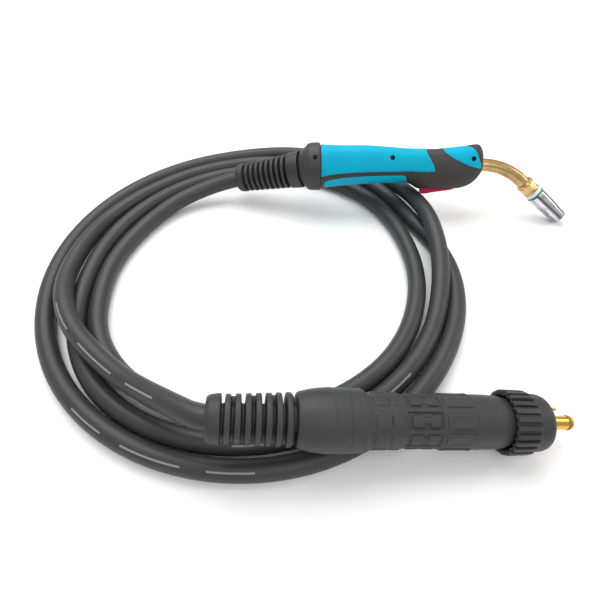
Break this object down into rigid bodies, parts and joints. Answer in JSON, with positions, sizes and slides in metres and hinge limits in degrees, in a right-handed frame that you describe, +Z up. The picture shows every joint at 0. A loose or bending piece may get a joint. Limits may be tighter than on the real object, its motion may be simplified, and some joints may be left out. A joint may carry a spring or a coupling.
{
  "type": "MIG welding torch with cable and central plug",
  "caption": "Swan-neck MIG welding torch with a swivelling two-colour handle, a thick coaxial cable in a loose coil and a central adaptor plug with a ribbed hand nut.",
  "frame": {"origin": "bottom centre of the gun's own box (handle, neck and nozzle), on the floor that the nozzle tip, the cable coil and the plug lie on", "axes": "+X along the handle towards the nozzle, +Z up, +Y away from the coil and the plug"},
  "size_m": [0.579, 0.4545, 0.0799],
  "materials": {
    "charcoal_rubber": "soft charcoal overmould, fine matte texture",
    "cyan_plastic": "satin moulded cyan",
    "crimson_plastic": "satin crimson",
    "cable_rubber": "grey extruded jacket, low sheen",
    "plug_plastic": "dark grey glass-filled plastic, fine texture",
    "nylon": "plain black nylon",
    "steel": "zinc-plated steel",
    "brass": "brushed brass",
    "gold_brass": "bright turned brass",
    "copper": "turned copper",
    "chrome": "bright nickel chrome",
    "white_insulator": "white insulating plastic",
    "green_seal": "green insulating plastic"
  },
  "bodies": {
    "cable_set": {"cable": "cable_rubber", "torch_boot": "cable_rubber", "swivel_ball": "nylon", "cable_crimp": "copper", "plug_boot": "cable_rubber", "plug_rear_shell": "plug_plastic", "plug_housing": "plug_plastic", "plug_core": "brass", "plug_screw_1": "steel", "plug_screw_2": "steel", "gas_nipple": "gold_brass", "nipple_o_ring": "nylon", "pin_sleeve_1": "nylon", "pin_sleeve_2": "nylon"},
    "socket": {"ball_socket_liner": "nylon"},
    "torch": {"handle_shell_right": "charcoal_rubber", "handle_shell_left": "charcoal_rubber", "rear_collar": "charcoal_rubber", "grip_panel_upper_right": "cyan_plastic", "grip_panel_upper_left": "cyan_plastic", "grip_panel_lower_right": "cyan_plastic", "grip_panel_lower_left": "cyan_plastic", "grip_panel_front_right": "cyan_plastic", "grip_panel_front_left": "cyan_plastic", "collar_screw": "steel", "handle_screw": "steel", "neck_lock_screw": "steel", "trigger_pin": "steel", "micro_switch": "nylon", "handle_power_lead": "copper", "neck_clamp_block": "brass", "swan_neck": "brass", "wire_liner": "nylon", "neck_nut": "brass", "insulator_ring": "white_insulator", "insulator_seal": "green_seal", "tip_holder": "brass", "contact_tip": "copper"},
    "trigger": {"trigger": "crimson_plastic"},
    "plunger": {"switch_plunger": "crimson_plastic"},
    "nozzle": {"gas_nozzle": "chrome"},
    "hand_nut": {"adaptor_nut": "plug_plastic"},
    "contact_pin_1": {"control_pin_1": "gold_brass"},
    "contact_pin_2": {"control_pin_2": "gold_brass"}
  },
  "joints": [
    {"name": "handle_yaw", "type": "hinge", "parent": "cable_set", "child": "socket", "pos_m": [-0.1322, 0.0075, 0.05325], "axis": [0, 0, 1], "range_deg": [0, 9]},
    {"name": "handle_pitch", "type": "hinge", "parent": "socket", "child": "torch", "pos_m": [-0.1322, 0.0075, 0.05325], "axis": [-0.014, -0.9999, 0], "range_deg": [0, 11]},
    {"name": "trigger_press", "type": "hinge", "parent": "torch", "child": "trigger", "pos_m": [0.023, -0.00567, 0.03745], "axis": [0.0226, 0.8658, -0.4999], "range_deg": [0, 5.5], "stiffness_Nm_per_rad": 1, "springref_deg": -2.86},
    {"name": "switch_travel", "type": "slide", "parent": "torch", "child": "plunger", "axis": [-0.0112, 0.5002, 0.8658], "range_m": [0, 0.0022]},
    {"name": "nozzle_twist", "type": "hinge", "parent": "torch", "child": "nozzle", "pos_m": [0.12214, -0.01323, 0.02883], "axis": [0.773, -0.3322, -0.5405], "continuous": true},
    {"name": "nut_turn", "type": "hinge", "parent": "cable_set", "child": "hand_nut", "pos_m": [-0.00742, -0.2992, 0.02837], "axis": [0.9901, 0.0519, -0.1305], "continuous": true},
    {"name": "pin_1_push", "type": "slide", "parent": "cable_set", "child": "contact_pin_1", "axis": [-0.9901, -0.0519, 0.1305], "range_m": [0, 0.0035], "stiffness_N_per_m": 300, "springref_m": -0.002},
    {"name": "pin_2_push", "type": "slide", "parent": "cable_set", "child": "contact_pin_2", "axis": [-0.9901, -0.0519, 0.1305], "range_m": [0, 0.0035], "stiffness_N_per_m": 300, "springref_m": -0.002}
  ],
  "couplings": [
    {"joint": "switch_travel", "follows": "trigger_press", "m_per_rad": 0.0215}
  ]
}
